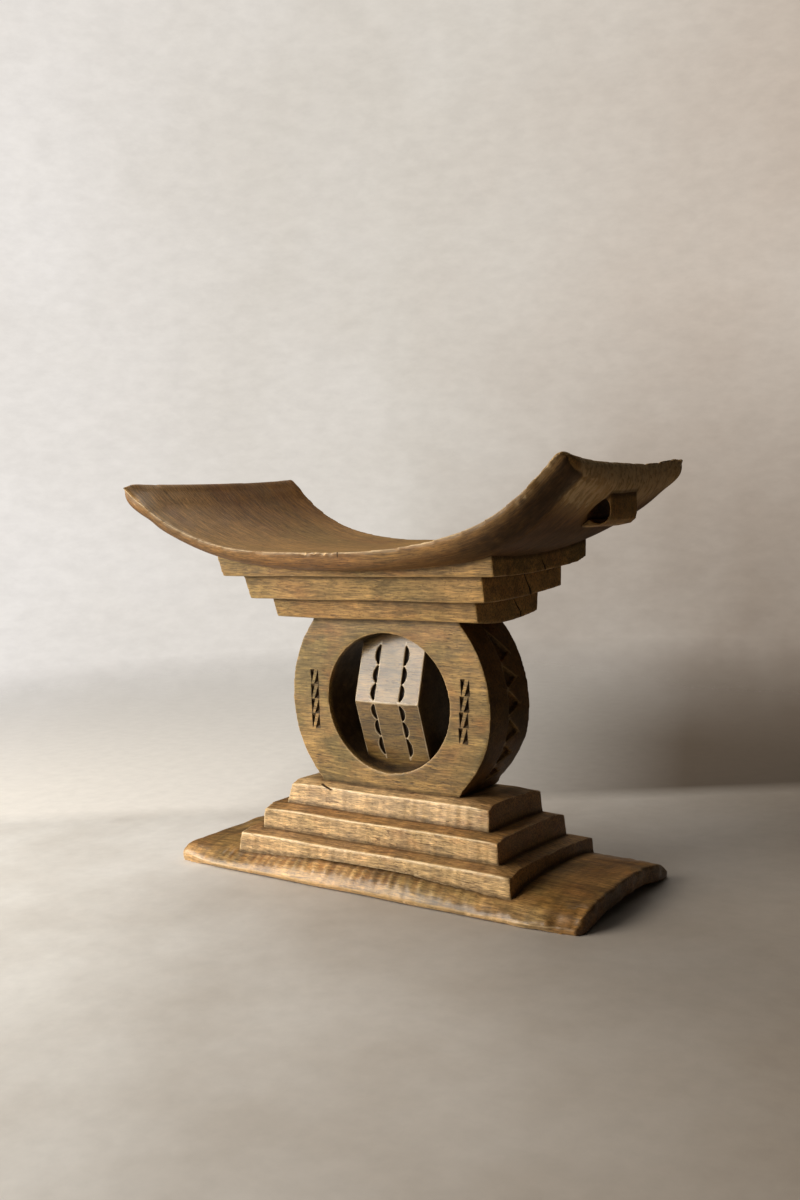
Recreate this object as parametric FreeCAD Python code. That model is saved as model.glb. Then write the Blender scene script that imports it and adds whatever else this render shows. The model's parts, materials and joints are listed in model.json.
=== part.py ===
import FreeCAD, Part
import math
import os

os.makedirs("parts", exist_ok=True)

# Ashanti stool carved from one block of wood, standing on its base plate.
# X runs along the stool, -Y is the front, Z is up and zero is the floor. All lengths are in millimetres.

# The pedestal stands a little to the left of the seat's middle, as it was judged by eye.
pedestal_x = -3.25

# Seat: a bowed plank, lowest over the pedestal, with its right end cut askew.
seat_half_length = 284.75
seat_low_height = 365.8
seat_rise = 84.2
seat_lean = 3.1
seat_bow_half_length = 277.0
seat_waist_half_depth = 132.6
seat_flare = 16.4
seat_edge_thickness = 19.5
seat_edge_inset = 2.0
seat_dish = 5.5
seat_right_end_dish = 2.0
seat_belly = 12.0
seat_end_skew = 9.0
seat_right_lift = 3.5
seat_left_lift = 1.5

# Lug with a carrying hole, under the right wing. It is set out from the seat's right end and the seat's height
# above the lug's middle.
lug_end_inset = 15.5
lug_length = 41.5
lug_front = 33.5
lug_back = 26.5
lug_drop = 47.8
lug_height = 45.0
lug_hole_radius = 11.8
lug_hole_inset = 13.9
lug_hole_rise = 15.3
lug_hole_runout = 5.0

# Stepped tiers above the drum, each one narrowing towards its underside.
# A size gives the left, right, front and back faces, measured from the pedestal's axis.
# An underside gives the heights of its front edge, middle and back edge.
upper_top_base = (177.2, 179.0, 98.5, 96.5)
upper_top_roof = (183.7, 179.2, 102.0, 98.0)
upper_top_base_z = 338.4
upper_top_roof_z = 363.0
upper_top_underside = (338.3, 337.6, 343.4)

upper_middle_base = (155.0, 156.8, 79.5, 78.8)
upper_middle_roof = (161.0, 157.0, 82.9, 80.5)
upper_middle_base_z = 312.0
upper_middle_roof_z = 335.5
upper_middle_underside = (311.4, 311.2, 316.2)

upper_bottom_base = (133.7, 136.0, 59.6, 61.1)
upper_bottom_roof = (137.2, 136.4, 63.2, 63.9)
upper_bottom_base_z = 289.6
upper_bottom_roof_z = 309.3
upper_bottom_underside = (289.6, 284.6, 290.4)

# Drum with its oval opening, and the ridged column that stands in the opening.
drum_shift = 1.8
drum_centre_z = 195.3
drum_radius = 133.0
drum_half_depth = 40.4
opening_shift = 2.6
opening_half_width = 81.3
opening_half_height = 77.2
column_shift = 0.6
column_half_width = 42.5
column_waist_depth = 39.6
column_root_depth = 15.5
notch_line_x = 16.5
notch_width = 6.2
notch_neck = 0.9
notch_depth = 5.0
notch_first = 1.6
notch_lengths = (19.4, 20.0, 23.5)

# Row of triangular pockets cut into each end wall of the drum.
tooth_base_y = -2.0
tooth_apex_y = 20.5
tooth_depth = 5.5

# Stepped tiers below the drum, each one narrowing towards its top.
# A tread gives the heights of its front foot, middle and back foot, and rolls down towards its edges.
lower_top_roof = (131.8, 134.8, 51.5, 57.0)
lower_top_base = (138.0, 136.9, 55.6, 57.8)
lower_top_roof_z = 95.5
lower_top_base_z = 72.0
lower_top_tread = (100.3, 99.3, 96.4)

lower_middle_roof = (156.9, 156.4, 72.0, 71.5)
lower_middle_base = (158.6, 158.2, 73.3, 72.9)
lower_middle_roof_z = 68.0
lower_middle_base_z = 45.0
lower_middle_tread = (73.0, 71.9, 68.6)

lower_bottom_roof = (179.0, 180.0, 89.5, 90.6)
lower_bottom_base = (182.8, 182.2, 91.4, 91.0)
lower_bottom_roof_z = 41.0
lower_bottom_base_z = 20.0
lower_bottom_tread = (46.2, 45.4, 41.4)
tread_drop = 4.8

# Base plate: an arched slab that stands on its front and rear edges.
base_half_length = 262.8
base_end_half_depth = 104.2
base_middle_half_depth = 108.8
base_crown_height = 28.6
base_middle_crown_height = 33.5
base_left_crown_height = 20.0
base_middle_half_length = 60.0
base_foot_width = 13.0
base_arch_height = 9.5

# Tools for the cuts reach this far past the wood.
overrun = 10.0
reach = 160.0


def vec(x, y, z):
    return FreeCAD.Vector(x, y, z)


def smooth_edge(points):
    # evenly spread parameters keep neighbouring sections alike
    last = len(points) - 1
    curve = Part.BSplineCurve()
    curve.interpolate(Points=points, Parameters=[i / last for i in range(len(points))])
    return curve.toShape()


def flat_face(corners):
    return Part.Face(Part.makePolygon(corners + [corners[0]]))


def lowest_piece(shape):
    return min(shape.Solids, key=lambda piece: piece.CenterOfMass.z)


# Seat, cut as a row of cross-sections from the left end to the right end.
# Each station gives its place along the seat and shares of edge thickness at the front and back, and of the belly.
seat_station_shares = [
    (-1.00, 0.98, 0.76, 0.95),
    (-0.96, 1.00, 0.78, 1.05),
    (-0.90, 0.94, 0.77, 1.10),
    (-0.80, 0.79, 0.72, 1.10),
    (-0.66, 0.72, 0.70, 0.95),
    (-0.46, 0.78, 0.77, 0.65),
    (-0.23, 0.94, 0.94, 0.25),
    (0.00, 1.00, 1.00, 0.10),
    (0.23, 1.08, 1.02, 0.25),
    (0.46, 1.20, 0.92, 0.65),
    (0.64, 1.30, 0.80, 1.00),
    (0.79, 1.25, 0.74, 1.35),
    (0.88, 1.12, 0.78, 1.65),
    (0.94, 1.02, 0.84, 1.70),
    (0.98, 0.96, 0.90, 1.55),
    (1.00, 0.90, 0.88, 1.40),
]
seat_top_shares = [-1.0, -0.6, 0.0, 0.6, 1.0]
seat_low_shares = [1.0, 0.955, 0.8, 0.45, 0.0, -0.45, -0.8, -0.955, -1.0]
seat_lip_share = 0.66


def seat_height(x):
    s = (x - pedestal_x) / seat_bow_half_length
    s = max(-1.0, min(1.0, s))
    bow = 0.27 * s ** 2 + 0.73 * s ** 4
    return seat_low_height + seat_rise * bow + seat_lean * s


def seat_half_depth(x):
    s = (x - pedestal_x) / seat_bow_half_length
    return seat_waist_half_depth + seat_flare * s * s


def seat_section(share, front_share, back_share, belly_share):
    right_ramp = max(0.0, share - 0.8) / 0.2
    left_ramp = max(0.0, -share - 0.8) / 0.2
    skew = seat_end_skew * right_ramp
    back_lift = seat_right_lift * right_ramp + seat_left_lift * left_ramp
    middle_x = share * seat_half_length - skew
    half = seat_half_depth(middle_x)
    low_half = half - seat_edge_inset
    dish = seat_dish * (1.0 + 0.55 * share) + seat_right_end_dish * right_ramp
    top = []
    for u in seat_top_shares:
        x = middle_x - skew * u
        z = seat_height(x) + 0.5 * (1.0 + u) * back_lift
        top.append(vec(x, u * half, z - dish * (1.0 - u * u)))
    low = []
    for u in seat_low_shares:
        x = middle_x - skew * u * low_half / half
        z = seat_height(x) + 0.5 * (1.0 + u) * back_lift
        edge_share = 0.5 * (1.0 - u) * front_share + 0.5 * (1.0 + u) * back_share
        if abs(u) == 1.0:
            edge_share = edge_share * seat_lip_share
        z = z - edge_share * seat_edge_thickness - belly_share * seat_belly * (1.0 - u * u)
        low.append(vec(x, u * low_half, z))
    edges = [
        smooth_edge(top),
        Part.makeLine(top[-1], low[0]),
        smooth_edge(low),
        Part.makeLine(low[-1], top[0]),
    ]
    return Part.Wire(edges)


def make_plank():
    wires = [seat_section(*row) for row in seat_station_shares]
    return Part.makeLoft(wires, True, False)


def lug_end():
    return seat_half_length - lug_end_inset


def lug_bottom():
    return seat_height(lug_end() - 0.5 * lug_length) - lug_drop


def lug_tunnel(runout):
    start = vec(lug_end() - lug_hole_inset, -lug_front - runout, lug_bottom() + lug_hole_rise)
    length = lug_front + lug_back + 2 * runout
    return Part.makeCylinder(lug_hole_radius, length, start, vec(0, 1, 0))


# Outline of the lug from its nose round to its root, as shares of its length and height.
lug_outline_shares = [
    (1.00, 1.00),
    (1.00, 0.30),
    (0.95, 0.14),
    (0.82, 0.05),
    (0.50, 0.00),
    (0.22, 0.00),
    (0.00, 0.10),
    (0.00, 1.00),
]


def make_lug(plank):
    points = []
    for along, up in lug_outline_shares:
        x = lug_end() - (1.0 - along) * lug_length
        points.append(vec(x, -lug_front, lug_bottom() + up * lug_height))
    block = flat_face(points).extrude(vec(0, lug_front + lug_back, 0))
    return lowest_piece(block.cut(plank)).cut(lug_tunnel(overrun))


def across_shape(wire):
    # carries a profile drawn across the stool along its whole length
    body = Part.Face(wire).extrude(vec(2 * seat_half_length, 0, 0))
    body.translate(vec(-seat_half_length, 0, 0))
    return body


def sag_points(size, heights):
    # a bow through the front edge, the middle and the back edge, carried on to the reach of the cuts
    front, middle, back = heights
    a = (front - middle) / size[2]
    b = (back - middle) / size[3]
    slope = (b * size[2] - a * size[3]) / (size[2] + size[3])
    bend = (a + b) / (size[2] + size[3])
    ys = [share * reach for share in (-1.0, -0.5, 0.0, 0.5, 1.0)]
    return [vec(0, y, middle + slope * y + bend * y * y) for y in ys]


def tread_points(size, heights):
    # nearly level between the feet of the riser above, rolling down to the front and back edges
    front, middle, back = heights
    foot = 0.8
    fall = tread_drop / (1.0 - foot)
    low_front = front - fall * (reach / size[2] - foot)
    low_back = back - fall * (reach / size[3] - foot)
    ends = [vec(0, -reach, low_front), vec(0, reach, low_back)]
    feet = [vec(0, -foot * size[2], front), vec(0, foot * size[3], back)]
    return ends, feet, vec(0, 0, middle)


def sag_edges(size, heights):
    return [smooth_edge(sag_points(size, heights))]


def tread_edges(size, heights):
    ends, feet, middle = tread_points(size, heights)
    crown = Part.Arc(feet[0], middle, feet[1]).toShape()
    return [Part.makeLine(ends[0], feet[0]), crown, Part.makeLine(feet[1], ends[1])]


def below(edges, floor_z):
    # everything between a level floor and a row of edges that runs from front to back
    start = edges[0].Vertexes[0].Point
    end = edges[-1].Vertexes[-1].Point
    low_start = vec(0, start.y, floor_z)
    low_end = vec(0, end.y, floor_z)
    sides = [Part.makeLine(end, low_end), Part.makeLine(low_end, low_start), Part.makeLine(low_start, start)]
    return across_shape(Part.Wire(edges + sides))


def block_corners(size, z):
    left, right, front, back = size
    return [
        vec(pedestal_x - left, -front, z),
        vec(pedestal_x + right, -front, z),
        vec(pedestal_x + right, back, z),
        vec(pedestal_x - left, back, z),
    ]


def tapered_block(low_size, low_z, high_size, high_z):
    # the taper is given between two heights and carried on past both of them
    extra = 2 * overrun / (high_z - low_z)
    low = [low_size[i] - extra * (high_size[i] - low_size[i]) for i in range(4)]
    high = [high_size[i] + extra * (high_size[i] - low_size[i]) for i in range(4)]
    floor = block_corners(low, low_z - 2 * overrun)
    roof = block_corners(high, high_z + 2 * overrun)
    faces = [flat_face(floor), flat_face(roof)]
    for i in range(4):
        j = (i + 1) % 4
        faces.append(flat_face([floor[i], floor[j], roof[j], roof[i]]))
    return Part.makeSolid(Part.makeShell(faces))


def below_upper_top():
    return below(sag_edges(upper_top_base, upper_top_underside), 0.0)


def below_upper_middle():
    return below(sag_edges(upper_middle_base, upper_middle_underside), 0.0)


def below_upper_bottom():
    return below(sag_edges(upper_bottom_base, upper_bottom_underside), 0.0)


def below_lower_top_tread():
    return below(tread_edges(lower_top_roof, lower_top_tread), -reach)


def below_lower_middle_tread():
    return below(tread_edges(lower_middle_roof, lower_middle_tread), -reach)


def below_lower_bottom_tread():
    return below(tread_edges(lower_bottom_roof, lower_bottom_tread), -reach)


def make_upper_top(plank):
    block = tapered_block(upper_top_base, upper_top_base_z, upper_top_roof, upper_top_roof_z)
    return lowest_piece(block.cut(below_upper_top()).cut(plank))


def make_upper_middle():
    block = tapered_block(upper_middle_base, upper_middle_base_z, upper_middle_roof, upper_middle_roof_z)
    return block.common(below_upper_top()).cut(below_upper_middle())


def make_upper_bottom():
    block = tapered_block(upper_bottom_base, upper_bottom_base_z, upper_bottom_roof, upper_bottom_roof_z)
    return block.common(below_upper_middle()).cut(below_upper_bottom())


def opening_tool():
    centre = vec(pedestal_x + opening_shift, -drum_half_depth - overrun, drum_centre_z)
    side = centre + vec(opening_half_width, 0, 0)
    top = centre + vec(0, 0, opening_half_height)
    face = Part.Face(Part.Wire(Part.Ellipse(side, top, centre).toShape()))
    return face.extrude(vec(0, 2 * (drum_half_depth + overrun), 0))


# Pockets down the drum's end wall: the angles where each one starts, has its apex and ends.
tooth_angles = [
    (36.5, 24.0, 20.0),
    (18.4, 12.1, 8.0),
    (7.1, -0.3, -4.4),
    (-6.2, -13.5, -17.5),
    (-19.0, -25.0, -30.0),
    (-31.6, -37.0, -42.0),
]


def tooth_pocket(start, apex, end, side):
    middle = math.radians(0.5 * (start + end))
    radial = vec(side * math.cos(middle), 0, math.sin(middle))
    tangent = vec(-side * math.sin(middle), 0, math.cos(middle))
    centre = vec(pedestal_x + drum_shift, 0, drum_centre_z)
    floor = centre + radial * (drum_radius - tooth_depth)
    corners = []
    for angle, y in ((start, tooth_base_y), (apex, tooth_apex_y), (end, tooth_base_y)):
        along = drum_radius * (math.radians(angle) - middle)
        corners.append(floor + tangent * along + vec(0, y, 0))
    return flat_face(corners).extrude(radial * (tooth_depth + overrun))


def make_drum():
    start = vec(pedestal_x + drum_shift, -drum_half_depth, drum_centre_z)
    disc = Part.makeCylinder(drum_radius, 2 * drum_half_depth, start, vec(0, 1, 0))
    disc = disc.common(below_upper_bottom()).cut(below_lower_top_tread())
    pockets = [tooth_pocket(*angles, side) for angles in tooth_angles for side in (1, -1)]
    return disc.cut(opening_tool()).cut(pockets)


def notch_row(side, slope, front, up):
    # a row of scallops: straight on the column's inner side, bulging outwards, sunk square to the facet
    along = vec(0, front * math.sin(slope), up * math.cos(slope))
    inward = vec(0, front * math.cos(slope), -up * math.sin(slope))
    outward = vec(side, 0, 0)
    line_x = pedestal_x + column_shift + side * notch_line_x
    origin = vec(line_x, -front * column_waist_depth, drum_centre_z) + along * notch_first
    cusps = [origin]
    edges = []
    run = 0.0
    for length in notch_lengths:
        run += length
        is_last = length is notch_lengths[-1]
        cusp = origin + along * run + outward * (0.0 if is_last else notch_neck)
        bulge = origin + along * (run - 0.5 * length) + outward * notch_width
        edges.append(Part.Arc(cusps[-1], bulge, cusp).toShape())
        cusps.append(cusp)
    edges.append(Part.makeLine(cusps[-1], origin))
    face = Part.Face(Part.Wire(edges))
    face.translate(inward * -notch_depth)
    return face.extrude(inward * (2 * notch_depth))


def make_column():
    waist = column_waist_depth
    root = column_root_depth
    low = drum_centre_z - opening_half_height
    high = drum_centre_z + opening_half_height
    left = pedestal_x + column_shift - column_half_width
    outline = [
        vec(left, -waist, drum_centre_z),
        vec(left, -root, low),
        vec(left, root, low),
        vec(left, waist, drum_centre_z),
        vec(left, root, high),
        vec(left, -root, high),
    ]
    column = flat_face(outline).extrude(vec(2 * column_half_width, 0, 0)).common(opening_tool())
    slope = math.atan2(waist - root, opening_half_height)
    rows = [notch_row(side, slope, front, up) for side in (1, -1) for front in (1, -1) for up in (1, -1)]
    return column.cut(rows)


def make_lower_top():
    block = tapered_block(lower_top_base, lower_top_base_z, lower_top_roof, lower_top_roof_z)
    return block.common(below_lower_top_tread()).cut(below_lower_middle_tread())


def make_lower_middle():
    block = tapered_block(lower_middle_base, lower_middle_base_z, lower_middle_roof, lower_middle_roof_z)
    return block.common(below_lower_middle_tread()).cut(below_lower_bottom_tread())


def make_lower_bottom(base_plate):
    block = tapered_block(lower_bottom_base, lower_bottom_base_z, lower_bottom_roof, lower_bottom_roof_z)
    block = block.common(below_lower_bottom_tread()).cut(base_plate)
    return max(block.Solids, key=lambda piece: piece.Volume)


# Across the base plate, from the front lip to the crown, as shares of half depth and crown height.
plate_profile_shares = [(1.0, 0.22), (0.91, 0.50), (0.82, 0.70), (0.58, 0.885), (0.30, 0.975)]
plate_middle_profile_shares = [(1.0, 0.20), (0.91, 0.58), (0.82, 0.78), (0.58, 0.92), (0.30, 0.985)]
plate_left_profile_shares = [(1.0, 0.36), (0.93, 0.68), (0.82, 0.86), (0.58, 0.95), (0.30, 0.985)]


def plate_section(x, half_depth, crown, profile):
    half = [vec(x, -y * half_depth, z * crown) for y, z in profile]
    mirrored = [vec(x, -p.y, p.z) for p in reversed(half)]
    top = half + [vec(x, 0, crown)] + mirrored
    inner = half_depth - base_foot_width
    arch = []
    for u in (1.0, 0.66, 0.33, 0.0, -0.33, -0.66, -1.0):
        arch.append(vec(x, u * inner, base_arch_height * (1.0 - u * u)))
    front_foot = vec(x, -half_depth, 0)
    back_foot = vec(x, half_depth, 0)
    edges = [
        smooth_edge(top),
        Part.makeLine(top[-1], back_foot),
        Part.makeLine(back_foot, arch[0]),
        smooth_edge(arch),
        Part.makeLine(arch[-1], front_foot),
        Part.makeLine(front_foot, top[0]),
    ]
    return Part.Wire(edges)


def make_base_plate():
    tier_end = lower_bottom_base[0]
    middle = base_middle_half_length
    end_depth = base_end_half_depth
    depth = base_middle_half_depth
    stations = [
        (-base_half_length, end_depth, base_left_crown_height, plate_left_profile_shares),
        (-tier_end, depth, base_crown_height, plate_profile_shares),
        (-middle, depth, base_middle_crown_height, plate_middle_profile_shares),
        (middle, depth, base_middle_crown_height, plate_middle_profile_shares),
        (tier_end, depth, base_crown_height, plate_profile_shares),
        (base_half_length, end_depth, base_crown_height, plate_profile_shares),
    ]
    wires = [plate_section(pedestal_x + x, half, crown, profile) for x, half, crown, profile in stations]
    return Part.makeLoft(wires, True, True)


plank = make_plank()
base_plate = make_base_plate()
nodes = {
    "seat": plank.cut(lug_tunnel(lug_hole_runout)),
    "handle_lug": make_lug(plank),
    "upper_tier_top": make_upper_top(plank),
    "upper_tier_middle": make_upper_middle(),
    "upper_tier_bottom": make_upper_bottom(),
    "drum": make_drum(),
    "drum_column": make_column(),
    "lower_tier_top": make_lower_top(),
    "lower_tier_middle": make_lower_middle(),
    "lower_tier_bottom": make_lower_bottom(base_plate),
    "base_plate": base_plate,
}
for name, shape in nodes.items():
    shape.exportStep("parts/" + name + ".step")
    print(name, shape.isValid(), len(shape.Solids), round(shape.Volume / 1000))
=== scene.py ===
import json
import math
import bmesh
import bpy
import numpy as np
from mathutils import Matrix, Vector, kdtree

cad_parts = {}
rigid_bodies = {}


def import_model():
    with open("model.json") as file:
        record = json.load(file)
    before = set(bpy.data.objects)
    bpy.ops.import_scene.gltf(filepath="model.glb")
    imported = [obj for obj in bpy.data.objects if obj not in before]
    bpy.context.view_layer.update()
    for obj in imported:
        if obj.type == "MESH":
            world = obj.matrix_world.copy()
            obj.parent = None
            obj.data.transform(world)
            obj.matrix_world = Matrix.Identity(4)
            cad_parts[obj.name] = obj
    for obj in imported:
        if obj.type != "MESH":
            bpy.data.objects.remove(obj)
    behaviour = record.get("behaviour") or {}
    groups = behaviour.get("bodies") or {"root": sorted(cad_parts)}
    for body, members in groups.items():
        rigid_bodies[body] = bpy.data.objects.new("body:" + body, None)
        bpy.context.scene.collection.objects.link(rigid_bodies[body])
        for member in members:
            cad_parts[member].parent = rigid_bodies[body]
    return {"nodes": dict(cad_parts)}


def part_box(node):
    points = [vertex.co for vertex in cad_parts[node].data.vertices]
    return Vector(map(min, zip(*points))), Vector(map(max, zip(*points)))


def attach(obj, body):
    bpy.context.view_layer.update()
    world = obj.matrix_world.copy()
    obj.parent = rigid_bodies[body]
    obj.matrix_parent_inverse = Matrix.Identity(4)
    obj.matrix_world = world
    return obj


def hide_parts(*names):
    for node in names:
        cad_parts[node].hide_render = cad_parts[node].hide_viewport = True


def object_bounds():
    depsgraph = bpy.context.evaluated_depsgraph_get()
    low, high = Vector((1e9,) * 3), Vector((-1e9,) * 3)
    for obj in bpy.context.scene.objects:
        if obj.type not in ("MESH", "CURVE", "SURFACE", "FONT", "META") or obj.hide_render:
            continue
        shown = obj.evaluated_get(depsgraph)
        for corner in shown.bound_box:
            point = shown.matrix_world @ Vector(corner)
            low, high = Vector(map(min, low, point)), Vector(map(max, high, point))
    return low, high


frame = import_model()
cad_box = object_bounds()


# Camera.
# It stands to the right of the stool's front and a little above the seat, looks slightly
# down and leans to one side, as the photograph was taken.

mm = 0.001


def add_object(name, data):
    made = bpy.data.objects.new(name, data)
    bpy.context.scene.collection.objects.link(made)
    return made


view_place = (774.5 * mm, -1084.1 * mm, 414.8 * mm)
view_turn = math.radians(35.769)
view_dip = math.radians(4.706)
view_lean = math.radians(-2.340)

lens = bpy.data.cameras.new("camera")
lens.sensor_width = 36.0
lens.lens = 36.13
lens.clip_end = 60.0
camera = add_object("camera", lens)
camera.matrix_world = (
    Matrix.Translation(view_place)
    @ Matrix.Rotation(view_turn, 4, "Z")
    @ Matrix.Rotation(math.pi / 2 - view_dip, 4, "X")
    @ Matrix.Rotation(view_lean, 4, "Z")
)
bpy.context.scene.camera = camera
bpy.context.scene.view_settings.view_transform = "Standard"


# Floor and light.
# A pale studio floor, with painted shade towards its right and at the foot of the backdrop, that fades into
# a backdrop of the same tone, a large soft window of light at the front left, a weak one overhead and one
# behind, so that no side is lost.


def tint(red, green, blue):
    # a colour written as it is seen, from 0 to 255, turned into the linear values of the shader
    return tuple(((v / 255 + 0.055) / 1.055) ** 2.4 for v in (red, green, blue)) + (1.0,)


def add_node(tree, kind, inputs=(), **settings):
    # inputs pairs a socket's name or number with a plain value or with the socket that feeds it
    made = tree.nodes.new(kind)
    for name, value in settings.items():
        setattr(made, name, value)
    for socket, value in dict(inputs).items():
        if isinstance(value, bpy.types.NodeSocket):
            tree.links.new(value, made.inputs[socket])
        else:
            made.inputs[socket].default_value = value
    return made


def remap(tree, value, low, high, to_low=0.0, to_high=1.0):
    # a straight ramp between two values, level beyond them
    inputs = {0: value, 1: low, 2: high, 3: to_low, 4: to_high}
    return add_node(tree, "ShaderNodeMapRange", inputs, clamp=True).outputs[0]


def blend_color(tree, share, first, second, mode="MIX"):
    inputs = {0: share, 6: first, 7: second}
    return add_node(tree, "ShaderNodeMix", inputs, data_type="RGBA", blend_type=mode).outputs[2]


def shade(tree, color, tone):
    return blend_color(tree, 1.0, color, tone, "MULTIPLY")


def compute(tree, operation, *values):
    return add_node(tree, "ShaderNodeMath", enumerate(values), operation=operation).outputs[0]


def multiply(tree, one, two):
    return compute(tree, "MULTIPLY", one, two)


def noise(tree, vector, scale, detail=3.0, roughness=0.55):
    inputs = {"Vector": vector, "Scale": scale, "Detail": detail, "Roughness": roughness}
    return add_node(tree, "ShaderNodeTexNoise", inputs).outputs[0]


def stretch(tree, vector, along, across, up):
    inputs = {0: vector, 1: (along, across, up)}
    return add_node(tree, "ShaderNodeVectorMath", inputs, operation="MULTIPLY").outputs[0]


def measure_toward(tree, vector, direction):
    inputs = {0: vector, 1: direction}
    return add_node(tree, "ShaderNodeVectorMath", inputs, operation="DOT_PRODUCT").outputs["Value"]


def finished_mesh(name, shape):
    mesh = bpy.data.meshes.new(name)
    shape.to_mesh(mesh)
    shape.free()
    return mesh


floor_radius = 6.0
fade_start = 0.75
fade_end = 2.2

floor_paint = bpy.data.materials.new("floor")
floor_paint.use_nodes = True
tree = floor_paint.node_tree
tree.nodes.clear()
place = add_node(tree, "ShaderNodeTexCoord").outputs["Object"]
cloud = remap(tree, noise(tree, place, 5.0, 6.0), 0.35, 0.65)
tone = blend_color(tree, cloud, tint(229, 226, 221), tint(209, 204, 197))
# painted shade: the floor darkens towards the right, away from the window
side = measure_toward(tree, place, (0.96, 0.38, 0.0))
tone = blend_color(tree, remap(tree, side, -0.35, 0.70), tone, tint(144, 124, 101))
# behind the stool the floor turns into the foot of the backdrop, with painted light on the left and painted
# shade on the right
behind = measure_toward(tree, place, (-0.585, 0.811, 0.0))
lit_and_shaded_foot = blend_color(tree, remap(tree, side, -0.35, 0.30), tint(238, 233, 226), tint(104, 90, 75))
tone = blend_color(tree, remap(tree, behind, 0.27, 0.33), tone, lit_and_shaded_foot)
fine = noise(tree, place, 45.0, 6.0, 0.65)
tone = shade(tree, tone, remap(tree, fine, 0.32, 0.68, 0.955, 1.04))
plaster = add_node(tree, "ShaderNodeBsdfPrincipled", {"Base Color": tone, "Roughness": 0.62})
clear = add_node(tree, "ShaderNodeBsdfTransparent")
distance = add_node(tree, "ShaderNodeVectorMath", {0: place}, operation="LENGTH").outputs["Value"]
fade = remap(tree, distance, fade_start, fade_end)
faded = add_node(tree, "ShaderNodeMixShader", {0: fade, 1: plaster.outputs[0], 2: clear.outputs[0]})
add_node(tree, "ShaderNodeOutputMaterial", {0: faded.outputs[0]})

shape = bmesh.new()
bmesh.ops.create_circle(shape, cap_ends=True, segments=96, radius=floor_radius)
floor = add_object("floor", finished_mesh("floor", shape))
floor.data.materials.append(floor_paint)


stool_middle = np.array((0.0, 0.0, 220 * mm))


def add_window(name, toward, distance, size, power, color, mirrored=True):
    # a square softbox that faces the stool's middle
    lamp = bpy.data.lights.new(name, "AREA")
    lamp.size = size
    lamp.energy = power
    lamp.color = color
    window = add_object(name, lamp)
    direction = np.array(toward) / np.linalg.norm(toward)
    window.location = stool_middle + direction * distance
    window.rotation_euler = (
        math.acos(direction[2]),
        0.0,
        math.atan2(direction[1], direction[0]) + math.pi / 2,
    )
    window.visible_glossy = mirrored


add_window("front_left_window", (-0.64, -0.69, 0.33), 2.0, 1.6, 63.0, (1.0, 0.955, 0.885))
add_window("overhead_window", (-0.36, 0.22, 0.90), 1.9, 1.2, 14.0, (1.0, 0.975, 0.93))
add_window("rear_window", (0.0, 0.95, 0.25), 2.3, 1.2, 8.0, (1.0, 0.97, 0.93), False)

# the backdrop is painted brighter on the window's side and darkest low down on the other: painted light and
# painted shade
world = bpy.data.worlds.new("room")
bpy.context.scene.world = world
world.use_nodes = True
tree = world.node_tree
tree.nodes.clear()
way = add_node(tree, "ShaderNodeTexCoord").outputs["Generated"]
side = measure_toward(tree, way, (0.811, 0.584, 0.0))
mottle = multiply(tree, compute(tree, "SUBTRACT", noise(tree, way, 4.0, 5.0), 0.5), 0.5)
side = compute(tree, "ADD", side, mottle)
backdrop = blend_color(tree, remap(tree, side, -0.34, 0.0), tint(234, 229, 224), tint(213, 206, 196))
backdrop = blend_color(tree, remap(tree, side, 0.0, 0.36), backdrop, tint(194, 180, 166))
up = add_node(tree, "ShaderNodeSeparateXYZ", {0: way}).outputs["Z"]
# painted shade, low down on the side away from the window
low_right_shade = multiply(tree, remap(tree, up, 0.16, -0.26), remap(tree, side, -0.05, 0.34))
backdrop = blend_color(tree, low_right_shade, backdrop, tint(92, 77, 61))
weave = noise(tree, stretch(tree, way, 60.0, 60.0, 120.0), 1.0, 4.0, 0.65)
backdrop = shade(tree, backdrop, remap(tree, weave, 0.32, 0.68, 0.96, 1.04))
rays = add_node(tree, "ShaderNodeLightPath")
seen = compute(tree, "MAXIMUM", rays.outputs["Is Camera Ray"], rays.outputs["Is Transmission Ray"])
unseen_room = (0.022, 0.021, 0.019, 1.0)
room = add_node(tree, "ShaderNodeBackground", {0: blend_color(tree, seen, unseen_room, backdrop)})
add_node(tree, "ShaderNodeOutputWorld", {0: room.outputs[0]})


# Base plate.
# The slab that the stool stands on, the bottom of the one carved block. It arches from its front
# edge to its rear edge, its ends were hewn by eye, and its front slope is polished by handling.


def coordinates(mesh):
    flat = np.empty(len(mesh.vertices) * 3)
    mesh.vertices.foreach_get("co", flat)
    return flat.reshape(-1, 3)


def place_vertices(mesh, points):
    mesh.vertices.foreach_set("co", points.ravel())
    mesh.update()


def point_tree(points):
    tree = kdtree.KDTree(len(points))
    for i, point in enumerate(points):
        tree.insert(point, i)
    tree.balance()
    return tree


def evaluated_mesh(piece):
    graph = bpy.context.evaluated_depsgraph_get()
    return bpy.data.meshes.new_from_object(piece.evaluated_get(graph))


sharp_edge = math.radians(30)
edge_sample = 1.5 * mm


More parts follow.
